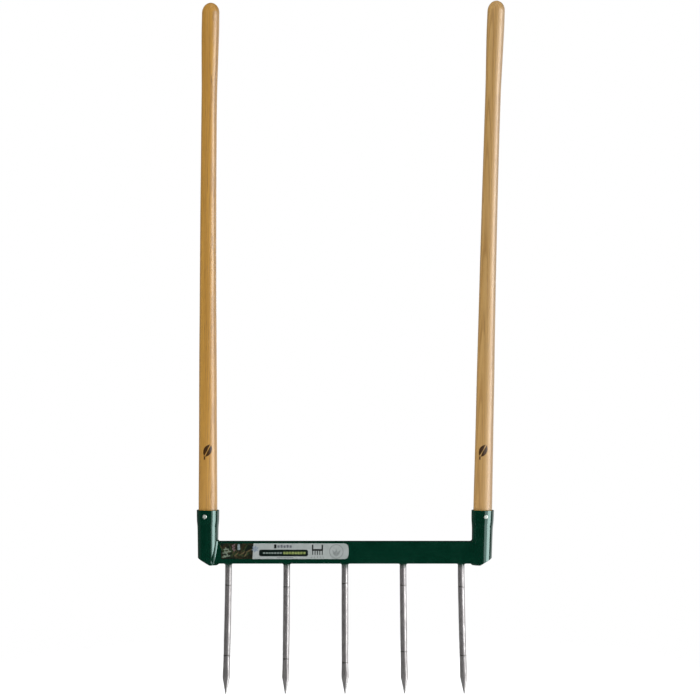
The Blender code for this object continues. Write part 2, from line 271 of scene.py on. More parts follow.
def handle_shape(length, seed):
    sides = 64
    foot, shoulder = HANDLE_PROFILE[0][0], HANDLE_PROFILE[-1][1]
    top = HANDLE_PROFILE[-1][0] * length
    rows = [(eased(HANDLE_PROFILE, height / length), height) for height in span(foot, top, 170)]
    for angle in span(0.0, math.pi / 2, 14)[1:-1]:
        rows.append((shoulder * math.cos(angle), top + DOME_HEIGHT * math.sin(angle)))
    rings = [[(0.0, 0.0, rows[0][1])]]
    for radius, height in rows:
        ring = []
        warp = handle_warp(height)
        for k in range(sides):
            angle = math.tau * k / sides
            ux, uy = math.cos(angle), math.sin(angle)
            turned = radius - 0.12 + 0.12 * uneven((ux * 14.0, uy * 14.0, height * 0.25), 0.05, seed)
            ring.append((warp + turned * ux, turned * uy, height))
        rings.append(ring)
    rings.append([(handle_warp(top + DOME_HEIGHT), 0.0, top + DOME_HEIGHT)])
    return skin(rings)


def foot_height(x):
    """Height of the sawn edge at the foot of a socket."""
    outboard = max(0.0, abs(x) - (SOCKET_X - FOOT_START))
    return -SOCKET_TAIL + outboard * math.tan(FOOT_SLANT)


def foot_depth(placing, ux, uy, inset):
    """How far below the rim a wall of the socket meets the sawn edge, by halving."""
    low, high = FOOT_SOUGHT
    for _ in range(40):
        middle = (low + high) / 2
        radius = socket_radius(middle) - inset
        point = placing @ Vector((radius * ux, radius * uy, -middle))
        if point.z > foot_height(point.x):
            low = middle
        else:
            high = middle
    return high


def socket_shape(side):
    """A tapered tube with a level, rounded lip. Its foot is level on the inner half and slants outwards."""
    placing = socket_placing(side)
    sides = 96
    edge = 0.4
    columns = []
    for k in range(sides):
        angle = math.tau * k / sides
        ux, uy = math.cos(angle), math.sin(angle)
        outer_end = foot_depth(placing, ux, uy, 0.0)
        inner_end = foot_depth(placing, ux, uy, SOCKET_WALL)
        outline = []
        rim_outer = socket_radius(0.0)
        for turn in span(0.0, math.pi / 2, 4):
            out = LIP_RADIUS * (1.0 - math.cos(turn))
            outline.append((rim_outer - out, LIP_RADIUS * (1.0 - math.sin(turn))))
        outline.reverse()
        for below in span(LIP_RADIUS, outer_end - edge, 40)[1:]:
            outline.append((eased(SOCKET_PROFILE, below), below))
        outline.append((socket_radius(outer_end) - edge, outer_end))
        outline.append((socket_radius(inner_end) - SOCKET_WALL + edge, inner_end))
        for below in span(inner_end - edge, LIP_RADIUS, 20):
            outline.append((socket_radius(below) - SOCKET_WALL, below))
        for turn in span(0.0, math.pi / 2, 4)[1:]:
            out = LIP_RADIUS * (1.0 - math.cos(turn))
            outline.append((rim_outer - SOCKET_WALL + out, LIP_RADIUS * (1.0 - math.sin(turn))))
        column = []
        for radius, below in outline:
            share = max(0.0, 1.0 - below / RIM_CUT_REACH)
            level = (radius * uy + rim_outer) * math.tan(SOCKET_LEAN) * share
            column.append((radius * ux, radius * uy, -below - level))
        columns.append(column)
    return skin([list(ring) for ring in zip(*columns)], closed=True)


def beam_outline(spacing):
    """Points round the beam's section as (y, z, outward y, outward z, distance round it)."""
    corner = BEAM_CORNER
    half_depth, half_height = BEAM_DEPTH / 2 - corner, BEAM_HEIGHT / 2 - corner
    signs = ((1, 1), (-1, 1), (-1, -1), (1, -1))
    corners = [(across * half_depth, up * half_height) for across, up in signs]
    points = []
    travelled = 0.0
    for quarter, (cy, cz) in enumerate(corners):
        start = math.pi / 2 * quarter
        for angle in span(start, start + math.pi / 2, 8):
            ny, nz = math.cos(angle), math.sin(angle)
            points.append((cy + corner * ny, cz + corner * nz + BEAM_HEIGHT / 2, ny, nz, travelled))
            travelled += corner * math.pi / 16
        following = corners[(quarter + 1) % 4]
        length = abs(following[0] - cy) + abs(following[1] - cz)
        steps = max(1, round(length / spacing))
        y, z, ny, nz, travelled = points[-1]
        for i in range(1, steps):
            share = i / steps
            moved = (y + (following[0] - cy) * share, z + (following[1] - cz) * share)
            points.append((*moved, ny, nz, travelled + length * share))
        travelled += length
    return points


def seam_x(side, y, z):
    """Where, along X, a point of the beam's section meets the outside of the socket."""
    axis = side * SOCKET_X + z * math.tan(SOCKET_SKEW)
    local = socket_placing(side).inverted() @ Vector((axis, y, z))
    radius = socket_radius(-local.z)
    across = min(abs(local.y), 0.94 * radius)
    return axis - side * math.sqrt(radius**2 - across**2)


def beam_shape():
    """A rectangular tube with rounded corners, its ends cut to fit the sockets."""
    outline = beam_outline(4.0)
    stations = (-1.0, -0.82, -0.41, 0.0, 0.41, 0.82, 1.0)
    rings = []
    for inset in (0.0, BEAM_WALL):
        rows = []
        for station in stations:
            row = []
            for y, z, ny, nz, _ in outline:
                y, z = y - inset * ny, z - inset * nz
                x = station * SOCKET_X
                if abs(station) == 1.0:
                    x = seam_x(station, y, z) + 0.2 * station
                row.append((x, y, z))
            rows.append(row)
        rings += rows if inset == 0.0 else rows[::-1]
    return skin(rings, closed=True)


def socket_weld_shape(side, seed):
    """The rippled fillet of weld metal round the beam's end."""
    rings = []
    for y, z, ny, nz, along in beam_outline(0.4):
        leg = SOCKET_WELD_LEG * (0.9 + 0.07 * ripple(along) + 0.1 * uneven((along, 0.0, 0.0), 0.12, seed))
        ring = [(y - WELD_SINK * ny, z - WELD_SINK * nz, -WELD_SINK)]
        for share in span(0.0, 1.0, 6):
            swell = 1.0 + 0.22 * math.sin(math.pi * share)
            off = leg * share * swell
            ring.append((y + off * ny, z + off * nz, leg * (1.0 - share) * swell))
        rings.append([(seam_x(side, py, pz) - side * out, py, pz) for py, pz, out in ring])
    return skin(rings, closed=True)


def tine_slope(along):
    bend = TINE_BEND * smoothstep((along - TINE_STRAIGHT) / TINE_BEND_LENGTH)
    return bend + TINE_SWEEP * smoothstep(along / TINE_STRAIGHT) * max(along, 0.0) / TINE_LENGTH


def tine_line(step):
    """Places of the tine's middle line as (along, y, z, slope), every step from the beam's underside."""
    line = [(0.0, 0.0, 0.0, 0.0)]
    for i in range(round(TINE_LENGTH / step)):
        along, y, z, _ = line[-1]
        slope = tine_slope(along + step / 2)
        y, z = y - math.sin(slope) * step, z - math.cos(slope) * step
        line.append((along + step, y, z, tine_slope(along + step)))
    return line


def tine_shape(x, seed):
    """A forged round bar, curved to the front, drawn out to a slightly square point."""
    sides = 28
    places = [(-TINE_TANG, 0.0, TINE_TANG, 0.0, 0.9), (0.6 - TINE_TANG, 0.0, TINE_TANG - 0.6, 0.0, 1.0)]
    places += [(-h, 0.0, h, 0.0, 1.0) for h in (24.0, 12.0, 3.0)]
    places += [(*place, 1.0) for place in tine_line(2.0)]
    rings = []
    for along, y, z, slope, scale in places:
        to_point = TINE_LENGTH - along
        forged = smoothstep(1.0 - (to_point - POINT_LENGTH) / 30.0)
        wide, thick = TINE_RADIUS + POINT_SPREAD * forged, TINE_RADIUS - POINT_SPREAD * forged
        if to_point < POINT_LENGTH:
            share = to_point / POINT_LENGTH
            wide = POINT_RADIUS + (wide - POINT_RADIUS) * share
            thick = POINT_RADIUS + (thick - POINT_RADIUS) * share
        across = Vector((0.0, math.cos(slope), -math.sin(slope)))
        ring = []
        for k in range(sides):
            angle = math.tau * k / sides
            bump = 0.10 * uneven((math.cos(angle) * 3.0, math.sin(angle) * 3.0, along * 0.5), 0.16, seed)
            square = 1.0 - 0.035 * forged * math.cos(4.0 * angle)
            size = scale * square * (1.0 + (bump - 0.05) / TINE_RADIUS)
            middle = Vector((x + size * wide * math.cos(angle), y, z))
            ring.append(tuple(middle + across * (size * thick * math.sin(angle))))
        rings.append(ring)
    rings.insert(0, [(x, 0.0, TINE_TANG)])
    _, y, z, slope, _ = places[-1]
    rings.append([(x, y - 0.3 * math.sin(slope), z - 0.3 * math.cos(slope))])
    return skin(rings)


def tine_weld_shape(x, seed):
    """The rippled collar of weld metal round the root of a tine."""
    sides = 96
    rings = []
    for share in span(0.0, 1.0, 6):
        ring = []
        for k in range(sides):
            angle = math.tau * k / sides
            along = angle * (TINE_RADIUS + TINE_WELD_LEG)
            place = (math.cos(angle) * 8.0, math.sin(angle) * 8.0, 0.0)
            leg = TINE_WELD_LEG * (0.9 + 0.07 * ripple(along) + 0.12 * uneven(place, 0.12, seed))
            swell = 1.0 + 0.2 * math.sin(math.pi * share)
            radius = TINE_RADIUS + leg * (1.0 - share) * swell
            ring.append((x + radius * math.cos(angle), radius * math.sin(angle), -leg * share * swell))
        rings.append(ring)
    for height in (-0.5, WELD_SINK):
        rings.append([(*point, height) for point in disc(x, 0.0, TINE_RADIUS - WELD_SINK, sides)])
    return skin(rings, closed=True)


def screw_placing(side):
    turn = Matrix.Rotation(side * SCREW_TURN, 4, "Z")
    facing = Matrix.Rotation(math.pi / 2, 4, "X")
    reach = socket_radius(SCREW_BELOW_RIM)
    return socket_placing(side) @ turn @ Matrix.Translation((0.0, -reach, -SCREW_BELOW_RIM)) @ facing


def screw_shape():
    """A domed head with a cross recess, and its shank."""
    sides = 72
    rings = [[(0.0, 0.0, SCREW_HEIGHT - CROSS_DEPTH)]]
    for share in span(0.0, 1.0, 26)[1:]:
        radius = SCREW_RADIUS * math.sin(math.pi / 2 * share)
        dome = SCREW_HEIGHT * (0.12 + 0.88 * math.cos(math.pi / 2 * share) ** 0.8)
        ring = []
        for k in range(sides):
            angle = math.tau * k / sides
            px, py = radius * math.cos(angle), radius * math.sin(angle)
            arm = min(abs(px), abs(py))
            wide = 0.42 + 0.25 * smoothstep(1.0 - radius / 1.6)
            inside = smoothstep((wide - arm) / 0.18 + 0.5) * smoothstep((CROSS_REACH - radius) / 0.5 + 0.5)
            ring.append((px, py, dome - CROSS_DEPTH * inside * (1.0 - 0.25 * radius / CROSS_REACH)))
        rings.append(ring)
    for height in (0.05, SCREW_POINT - SCREW_LENGTH):
        rings.append([(*point, height) for point in disc(0.0, 0.0, SCREW_SHANK, sides)])
    rings.append([(0.0, 0.0, -SCREW_LENGTH)])
    return skin(rings)


# ---------------------------------------------------------------- material helpers


class Finish:
    """A material whose nodes are added by short calls. An input takes another node's output or a value."""

    def __init__(self, name, placing=None):
        self.block = bpy.data.materials.new(name)
        self.block.use_nodes = True
        self.tree = self.block.node_tree
        self.surface = self.tree.nodes["Principled BSDF"]
        self.source = self.add("TexCoord", {}, output="Object")
        if placing is not None:
            where = {0: self.source, 1: placing.translation * MM, 2: placing.to_euler()}
            self.source = self.add("Mapping", where, vector_type="TEXTURE")

    def add(self, kind, inputs, output=0, **settings):
        node = self.tree.nodes.new("ShaderNode" + kind)
        for name, value in settings.items():
            setattr(node, name, value)
        for place, value in inputs.items():
            self.feed(node.inputs[place], value)
        return node.outputs[output]

    def feed(self, socket, value):
        if isinstance(value, bpy.types.NodeSocket):
            self.tree.links.new(value, socket)
        else:
            socket.default_value = value

    def set(self, **inputs):
        """Feeds the shader's own sockets, named with _ for a space."""
        for name, value in inputs.items():
            self.feed(self.surface.inputs[name.replace("_", " ")], value)

    def place(self, scale, offset=(0.0, 0.0, 0.0)):
        """The piece's own coordinates in millimetres, times a scale for each axis, plus an offset."""
        factors = tuple(value / MM for value in scale)
        return self.add("VectorMath", {0: self.source, 1: factors, 2: offset}, operation="MULTIPLY_ADD")

    def math(self, operation, a, b=0.0, clamp=False):
        return self.add("Math", {0: a, 1: b}, operation=operation, use_clamp=clamp)

    def noise(self, vector, scale=1.0, detail=3.0, roughness=0.55):
        inputs = {"Vector": vector, "Scale": scale, "Detail": detail, "Roughness": roughness}
        return self.add("TexNoise", inputs)

    def ease(self, value, low, high, start=0.0, end=1.0):
        """Goes smoothly from start to end as the value goes from low to high."""
        inputs = {0: value, 1: low, 2: high, 3: start, 4: end}
        return self.add("MapRange", inputs, interpolation_type="SMOOTHSTEP")

    def blend(self, share, first, second):
        """A colour between two others."""
        return self.add("Mix", {0: share, 6: rgba(first), 7: rgba(second)}, output=2, data_type="RGBA")

    def relief(self, height, distance, strength=1.0, under=None):
        """A bump: distance in millimetres for a height of 1."""
        inputs = {"Strength": strength, "Distance": distance * MM, "Height": height}
        if under is not None:
            inputs["Normal"] = under
        return self.add("Bump", inputs)


def rgba(colour):
    return colour if isinstance(colour, bpy.types.NodeSocket) else (*colour, 1.0)


# ---------------------------------------------------------------- materials


def mark_mask(finish, shift):
    """The burnt-in mark on a handle's front, a leaf with a vein and a stalk: 1 inside it, 0 outside."""
    place = finish.place((1.0, 1.0, 1.0))
    axes = finish.tree.nodes.new("ShaderNodeSeparateXYZ")
    finish.feed(axes.inputs[0], place)
    back = finish.math("MULTIPLY", axes.outputs[1], -1.0)
    turn = finish.math("ARCTAN2", axes.outputs[0], back)
    radius = eased(HANDLE_PROFILE, MARK_HEIGHT)
    across = finish.math("SUBTRACT", finish.math("MULTIPLY", turn, radius), shift)
    height = finish.math("SUBTRACT", axes.outputs[2], MARK_HEIGHT)
    flat = finish.add("CombineXYZ", {0: across, 1: height})
    wobble = finish.noise(place, 0.9, 2.0)

    def inside(x, y):
        distance = finish.add("VectorMath", {0: flat, 1: (x, y, 0.0)}, output="Value", operation="DISTANCE")
        return finish.math("SUBTRACT", MARK_ROUND, distance)

    right, left = inside(6.6, -1.8), inside(-6.0, 4.6)
    blade = finish.math("MINIMUM", right, left)
    off_vein = finish.math("ABSOLUTE", finish.math("SUBTRACT", right, left))
    veined = finish.math("MINIMUM", blade, finish.math("SUBTRACT", off_vein, 1.1))
    sideways = finish.math("ABSOLUTE", finish.math("ADD", across, 5.4))
    upward = finish.math("ABSOLUTE", finish.math("ADD", height, 12.2))
    beside, beyond = finish.math("SUBTRACT", 1.3, sideways), finish.math("SUBTRACT", 3.0, upward)
    stalk = finish.math("MINIMUM", beside, beyond)
    shape = finish.math("MAXIMUM", veined, stalk)
    ragged = finish.math("ADD", shape, finish.math("MULTIPLY", finish.math("SUBTRACT", wobble, 0.5), 1.2))
    front = finish.ease(axes.outputs[1], 0.0, -4.0)
    return finish.math("MULTIPLY", finish.ease(ragged, -0.25, 0.35), front)


def ash(name, placing, seed, pith, mark_shift, pale, deep):
    """Oiled ash: growth rings round a pith outside the handle, open pores along the grain."""
    finish = Finish(name, placing)
    offset = (seed * 31.0, seed * 17.0, seed * 53.0)
    slow = finish.noise(finish.place((0.03, 0.03, 0.0022), offset), 1.0, 2.0)
    place = finish.place((1.0, 1.0, 0.018), (pith[0], pith[1], 0.0))
    axes = finish.tree.nodes.new("ShaderNodeSeparateXYZ")
    finish.feed(axes.inputs[0], place)
    drift = finish.math("MULTIPLY", finish.math("SUBTRACT", slow, 0.5), 16.0)
    across = finish.math("ADD", axes.outputs[0], drift)
    inward = finish.math("ADD", axes.outputs[1], axes.outputs[2])
    flat = finish.add("CombineXYZ", {0: across, 1: inward})
    distance = finish.add("VectorMath", {0: flat}, output="Value", operation="LENGTH")
    fine = finish.noise(finish.place((0.9, 0.9, 0.02), offset), 1.0, 4.0, 0.65)
    rings = finish.math("ADD", finish.math("DIVIDE", distance, 2.6), finish.math("MULTIPLY", fine, 0.5))
    ring = finish.math("FRACT", rings)
    early = finish.math("MULTIPLY", finish.ease(ring, 0.0, 0.12), finish.ease(ring, 0.55, 0.2))
    streak = finish.noise(finish.place((2.6, 2.6, 0.035), offset), 1.0, 2.0, 0.5)
    open_wood = finish.math("ADD", early, 0.12, clamp=True)
    pores = finish.math("MULTIPLY", finish.ease(streak, 0.56, 0.68), open_wood)
    tone = finish.noise(finish.place((0.12, 0.12, 0.004), offset), 1.0, 3.0, 0.6)
    mottled = finish.blend(finish.ease(tone, 0.3, 0.7), pale, deep)
    banded = finish.blend(finish.math("MULTIPLY", early, 0.42), mottled, (0.40, 0.195, 0.050))
    fibred = finish.blend(finish.ease(fine, 0.42, 0.75, 0.0, 0.32), banded, (0.37, 0.175, 0.045))
    pored = finish.blend(finish.math("MULTIPLY", pores, 0.62), fibred, (0.17, 0.075, 0.02))
    height = finish.add("SeparateXYZ", {0: finish.place((1.0, 1.0, 1.0))}, output=2)
    # The wood turns a little darker and greyer towards the socket's rim.
    nearer_socket = finish.ease(height, 190.0, 5.0, 0.0, 0.25)
    toned = finish.blend(nearer_socket, pored, (0.50, 0.28, 0.10))
    mark = mark_mask(finish, mark_shift)
    marked = finish.blend(finish.math("MULTIPLY", mark, 0.96), toned, (0.036, 0.011, 0.001))
    grain = finish.relief(finish.math("MULTIPLY", pores, -1.0), 0.18, 0.7)
    ridged = finish.relief(fine, 0.10, 0.5, grain)
    burnt = finish.relief(finish.math("MULTIPLY", mark, -1.0), 0.15, 0.8, ridged)
    rough = finish.math("ADD", finish.ease(tone, 0.2, 0.8, 0.38, 0.52), finish.math("MULTIPLY", pores, 0.2))
    finish.set(Base_Color=marked, Roughness=rough, Normal=burnt, Coat_Weight=0.8, Coat_Roughness=0.36)
    return finish.block


def green_paint(name, seed):
    """Glossy dark green powder coat with its slight orange peel, dust and rubbed patches."""
    finish = Finish(name)
    offset = (seed * 23.0, seed * 41.0, seed * 13.0)
    peel = finish.noise(finish.place((0.55, 0.55, 0.55), offset), 1.0, 1.5, 0.4)
    dust = finish.noise(finish.place((0.05, 0.05, 0.05), offset), 1.0, 4.0, 0.62)
    specks = finish.noise(finish.place((2.2, 2.2, 2.2), offset), 1.0, 1.0, 0.5)
    speck = finish.ease(specks, 0.72, 0.8)
    body = finish.blend(finish.ease(dust, 0.3, 0.75), (0.0003, 0.0245, 0.0125), (0.0010, 0.0315, 0.0165))
    dusty = finish.blend(finish.math("MULTIPLY", speck, 0.25), body, (0.05, 0.09, 0.075))
    rough = finish.math("ADD", finish.ease(dust, 0.35, 0.8, 0.13, 0.22), finish.math("MULTIPLY", speck, 0.2))
    bumps = finish.relief(peel, 0.05, 0.5)
    finish.set(Base_Color=dusty, Roughness=rough, Normal=bumps, IOR=1.8, Specular_Tint=(0.70, 1.0, 0.95, 1.0))
    return finish.block


def forged_steel(name, seed):
    """Bare forged bar: a satin grey with darker scale, faint rings where it was gripped, a ground point."""
    finish = Finish(name)
    offset = (seed * 19.0, seed * 37.0, seed * 29.0)
    scale = finish.noise(finish.place((0.10, 0.10, 0.05), offset), 1.0, 5.0, 0.65)
    grain = finish.noise(finish.place((1.6, 1.6, 0.12), offset), 1.0, 3.0, 0.6)
    pits = finish.noise(finish.place((0.9, 0.9, 0.9), offset), 1.0, 2.0, 0.5)
    height = finish.add("SeparateXYZ", {0: finish.place((1.0, 0.0, 1.0))}, output=2)
    slanted = finish.math("ADD", height, finish.math("MULTIPLY", scale, 5.0))
    ring = None
    for place in (-33.0 - 3.0 * (seed % 3), -150.0 - 6.0 * (seed % 4)):
        distance = finish.math("ABSOLUTE", finish.math("SUBTRACT", slanted, place))
        band = finish.ease(distance, 1.6, 0.4)
        ring = band if ring is None else finish.math("MAXIMUM", ring, band)
    ground = finish.ease(slanted, -192.0, -199.0)
    steel = finish.blend(finish.ease(scale, 0.32, 0.68), (0.44, 0.425, 0.425), (0.31, 0.298, 0.298))
    brushed = finish.blend(finish.ease(grain, 0.35, 0.75, 0.0, 0.5), steel, (0.10, 0.095, 0.10))
    pointed = finish.blend(finish.math("MULTIPLY", ground, 0.35), brushed, (0.42, 0.41, 0.41))
    ringed = finish.blend(finish.math("MULTIPLY", ring, 0.7), pointed, (0.035, 0.032, 0.032))
    overspray = finish.math("MULTIPLY", finish.ease(slanted, -9.0, -2.0), finish.ease(pits, 0.36, 0.56))
    colour = finish.blend(overspray, ringed, (0.0020, 0.030, 0.0190))
    metal = finish.math("MULTIPLY", finish.math("SUBTRACT", 1.0, overspray), 0.68)
    rough = finish.math("ADD", finish.ease(scale, 0.3, 0.7, 0.26, 0.40), finish.math("MULTIPLY", grain, 0.1))
    lines = finish.relief(grain, 0.05, 0.5)
    bumps = finish.relief(finish.ease(pits, 0.3, 0.7), 0.07, 0.5, lines)
    finish.set(Base_Color=colour, Metallic=metal, Roughness=rough, Normal=bumps)
    return finish.block


def zinc(name):
    """Bright zinc plating, slightly mottled and brushed by the driver."""
    finish = Finish(name)
    cloud = finish.noise(finish.place((0.6, 0.6, 0.6)), 1.0, 3.0)
    fine = finish.noise(finish.place((3.0, 3.0, 3.0)), 1.0, 2.0)
    colour = finish.blend(finish.ease(cloud, 0.3, 0.7), (0.79, 0.85, 0.80), (0.63, 0.69, 0.64))
    finish.set(Base_Color=colour, Metallic=0.45, Roughness=finish.ease(fine, 0.3, 0.7, 0.30, 0.45))
    finish.set(Normal=finish.relief(fine, 0.03, 0.5))
    return finish.block


def ink(name, colour, second, scale, seed, contrast=(0.35, 0.65)):
    """Laminated print: one ink that fades into a second in soft patches, under a slightly scuffed film."""
    finish = Finish(name)
    offset = (seed * 11.0, seed * 7.0, seed * 5.0)
    patches = finish.noise(finish.place((scale, scale, scale), offset), 1.0, 4.0, 0.6)
    scuffs = finish.noise(finish.place((0.04, 0.5, 0.5), offset), 1.0, 3.0, 0.6)
    film = finish.noise(finish.place((0.12, 0.12, 0.12), offset), 1.0, 2.0)
    finish.set(Base_Color=finish.blend(finish.ease(patches, *contrast), colour, second))
    finish.set(Roughness=finish.ease(scuffs, 0.3, 0.75, 0.30, 0.48), Normal=finish.relief(film, 0.05, 0.4))
    return finish.block


# ---------------------------------------------------------------- label


def rounded_bar(left, low, right, high, radius, steps=6):
    """Outline of a rectangle with rounded corners."""
    left, low, right, high = left + radius, low + radius, right - radius, high - radius
    centres = ((right, high), (left, high), (left, low), (right, low))
    outline = []
    for quarter, (x, y) in enumerate(centres):
        start = math.pi / 2 * quarter
        for angle in span(start, start + math.pi / 2, steps):
            outline.append((x + radius * math.cos(angle), y + radius * math.sin(angle)))
    return outline


def leaf(x, y, length, width, angle, bend=0.0, steps=8):
    """Outline of a pointed leaf from its stalk, at an angle in degrees, bent by a share of its length."""
    turn = math.radians(angle)
    along = (math.cos(turn), math.sin(turn))
    outline = []
    for sign in (-1.0, 1.0):
        for k in range(steps):
            share = k / steps if sign < 0 else 1.0 - k / steps
            out = sign * width / 2 * math.sin(math.pi * share ** 0.8) + bend * length * share * share
            ahead = length * share
            outline.append((x + ahead * along[0] - out * along[1], y + ahead * along[1] + out * along[0]))
    return outline


LABEL_WIDTH = LABEL_BOX_HIGH.x - LABEL_BOX_LOW.x
LABEL_HEIGHT = LABEL_BOX_HIGH.z - LABEL_BOX_LOW.z
LABEL_INSET = 0.3
LABEL_BULGE = 9.0
PICTURE_RIGHT = 57.0


def label_outline():
    """The whole sticker: a square left end and a bowed right one."""
    low, high = LABEL_INSET, LABEL_HEIGHT - LABEL_INSET
    middle, half = (low + high) / 2, (high - low) / 2
    outline = [(LABEL_INSET, high), (LABEL_INSET, low)]
    for angle in span(-math.pi / 2, math.pi / 2, 24):
        across = LABEL_BULGE * abs(math.cos(angle)) ** 0.7
        up = half * math.copysign(abs(math.sin(angle)) ** 0.7, math.sin(angle))
        outline.append((LABEL_WIDTH - LABEL_INSET - LABEL_BULGE + across, middle + up))
    return outline


def foliage(draw):
    """Blades and small flowers over the picture at the label's left end."""
    for _ in range(34):
        x, y = draw.uniform(2.0, PICTURE_RIGHT - 8.0), draw.uniform(1.0, 17.0)
        kind = draw.choice(("blade", "blade", "dry_blade"))
        length, width = draw.uniform(7.0, 14.0), draw.uniform(1.2, 2.4)
        turn, bend = draw.uniform(15.0, 165.0), draw.uniform(-0.3, 0.3)
        yield kind, leaf(x, y, length, width, turn, bend)
    tufts = ((6.5, 3.5, 5.0), (12.0, 5.0, 6.5), (8.0, 10.5, 6.0), (14.5, 13.0, 5.5), (9.5, 17.0, 5.0))
    for x, y, size in tufts:
        for turn in (15.0, 90.0, 165.0):
            yield "pale_blade", leaf(x, y, size, 2.1, turn, 0.15)
    for x, y, turn in ((24.0, 5.0, 35.0), (34.0, 8.0, 20.0), (42.0, 4.0, 50.0), (45.0, 13.0, 15.0)):
        yield "straw", leaf(x, y, 13.0, 2.0, turn, 0.2)
    for k in range(5):
        yield "petal", leaf(23.0, 14.5 + 2.4 * k, 4.6, 2.6, 50.0 + 75.0 * (k % 2))
    yield "pale", rounded_bar(30.2, 18.5, 34.6, 27.2, 1.8)
    yield "pale", disc(32.4, 19.0, 2.6)


def little_fork(left, middle):
    """A pictogram of the tool itself, 20 mm wide."""
    yield "dark", rounded_bar(left, middle - 1.6, left + 20.0, middle + 1.6, 0.8)
    for across in (0.0, 17.4):
        yield "dark", rounded_bar(left + across, middle, left + across + 2.6, middle + 9.6, 0.8)
    for k in range(5):
        across = left + 0.6 + 4.3 * k
        yield "dark", rounded_bar(across, middle - 9.0, across + 1.6, middle, 0.5)


def label_art():
    """The label's shapes from back to front, as (ink, outline), in millimetres from its lower left corner."""
    draw = random.Random(5)
    low, top = LABEL_INSET, LABEL_HEIGHT - LABEL_INSET
    yield "panel", label_outline()
    yield "picture", [(low, low), (PICTURE_RIGHT, low), (PICTURE_RIGHT + 2.0, top), (low, top)]
    yield from foliage(draw)
    for k in range(6):
        yield "sky", leaf(62.0, 18.5, 6.8, 3.4, 60.0 * k + 20.0)
    yield "pale", disc(62.0, 18.5, 1.5)
    yield "dark", rounded_bar(96.0, 19.4, 100.2, 26.6, 1.0)
    for k in range(5):
        yield "grey", rounded_bar(102.0 + 5.4 * k, 20.4, 106.0 + 5.4 * k, 25.0 + k % 2, 0.8)
    yield "pill", rounded_bar(69.0, 5.2, 157.0, 17.2, 3.6)
    for k in range(7):
        left = 76.0 + 5.0 * k
        yield "white", rounded_bar(left, 9.7, left + 3.8, 12.5, 0.7)
    for k in range(8):
        left = 112.5 + 5.1 * k
        yield "lime", rounded_bar(left, 9.0, left + 4.2, 13.4, 0.8)
    yield "grey", rounded_bar(101.0, 2.0, 131.0, 3.1, 0.4)
    yield from little_fork(164.0, 16.6)
    for k in range(5):
        yield "soft", leaf(162.0 + 6.0 * k, 1.6, 4.5, 2.0, 50.0 + 20.0 * k)
    yield "soft", disc(208.0, 13.9, 13.0, 36)
    yield "panel", disc(208.0, 13.9, 11.4, 36)
    for k in range(3):
        yield "soft", leaf(208.0, 5.0, 14.0, 4.8, 58.0 + 32.0 * k)


def label_shape(inks):
    """A thin closed sheet whose front is cut up along the edges of the printed shapes."""
    shapes = list(label_art())
    points = []
    outlines = []
    for _, outline in shapes:
        start = len(points)
        points += [Vector(point) for point in outline]
        outlines.append(list(range(start, len(points))))
    flat, _, faces, _, _, sources = delaunay_2d_cdt(points, [], outlines, 1, 1e-4, True)
    kept = [(list(face), max(source)) for face, source in zip(faces, sources) if source]
    front = (BEAM_LOW.y - ORIGIN.y) - 0.22
    back = (BEAM_LOW.y - ORIGIN.y) - 0.02
    left, low = LABEL_BOX_LOW.x, LABEL_BOX_LOW.z - ORIGIN.z
    count = len(flat)
    verts = [(left + p.x, front, low + p.y) for p in flat] + [(left + p.x, back, low + p.y) for p in flat]
    sheet = []
    slots = []
    edges = set()
    for face, source in kept:
        sheet.append(face)
        slots.append(inks.index(shapes[source][0]))
        edges |= set(zip(face, face[1:] + face[:1]))
    for face, _ in kept:
        sheet.append([count + i for i in reversed(face)])
        slots.append(0)
    for a, b in sorted(edges):
        if (b, a) not in edges:
            sheet.append([b, a, count + a, count + b])
            slots.append(0)
    return (verts, sheet), slots


def label_inks():
    return {
        "panel": ink("label_panel", (0.345, 0.385, 0.375), (0.395, 0.43, 0.425), 0.08, 1),
        "picture": ink("label_picture", (0.004, 0.010, 0.006), (0.028, 0.022, 0.009), 0.16, 2, (0.42, 0.66)),
        "blade": ink("label_blade", (0.012, 0.028, 0.010), (0.045, 0.070, 0.028), 0.5, 3),
        "dry_blade": ink("label_dry_blade", (0.035, 0.030, 0.014), (0.075, 0.062, 0.030), 0.5, 4),
        "pale_blade": ink("label_pale_blade", (0.13, 0.17, 0.12), (0.24, 0.29, 0.22), 0.5, 5),
        "straw": ink("label_straw", (0.09, 0.074, 0.034), (0.15, 0.12, 0.06), 0.5, 15),
        "petal": ink("label_petal", (0.13, 0.075, 0.085), (0.21, 0.14, 0.15), 0.5, 6),
        "pale": ink("label_pale", (0.17, 0.22, 0.23), (0.26, 0.32, 0.33), 0.3, 7),
        "sky": ink("label_sky", (0.19, 0.24, 0.31), (0.27, 0.32, 0.37), 0.3, 8),
        "dark": ink("label_dark", (0.002, 0.004, 0.004), (0.008, 0.011, 0.010), 0.3, 9),
        "grey": ink("label_grey", (0.10, 0.11, 0.13), (0.15, 0.16, 0.18), 0.3, 10),
        "pill": ink("label_pill", (0.001, 0.005, 0.004), (0.002, 0.012, 0.009), 0.2, 11),
        "white": ink("label_white", (0.17, 0.22, 0.20), (0.25, 0.30, 0.28), 0.3, 12),
        "lime": ink("label_lime", (0.16, 0.21, 0.05), (0.27, 0.34, 0.11), 0.3, 13),
        "soft": ink("label_soft", (0.21, 0.235, 0.23), (0.27, 0.30, 0.295), 0.3, 14),
    }


# ---------------------------------------------------------------- pieces


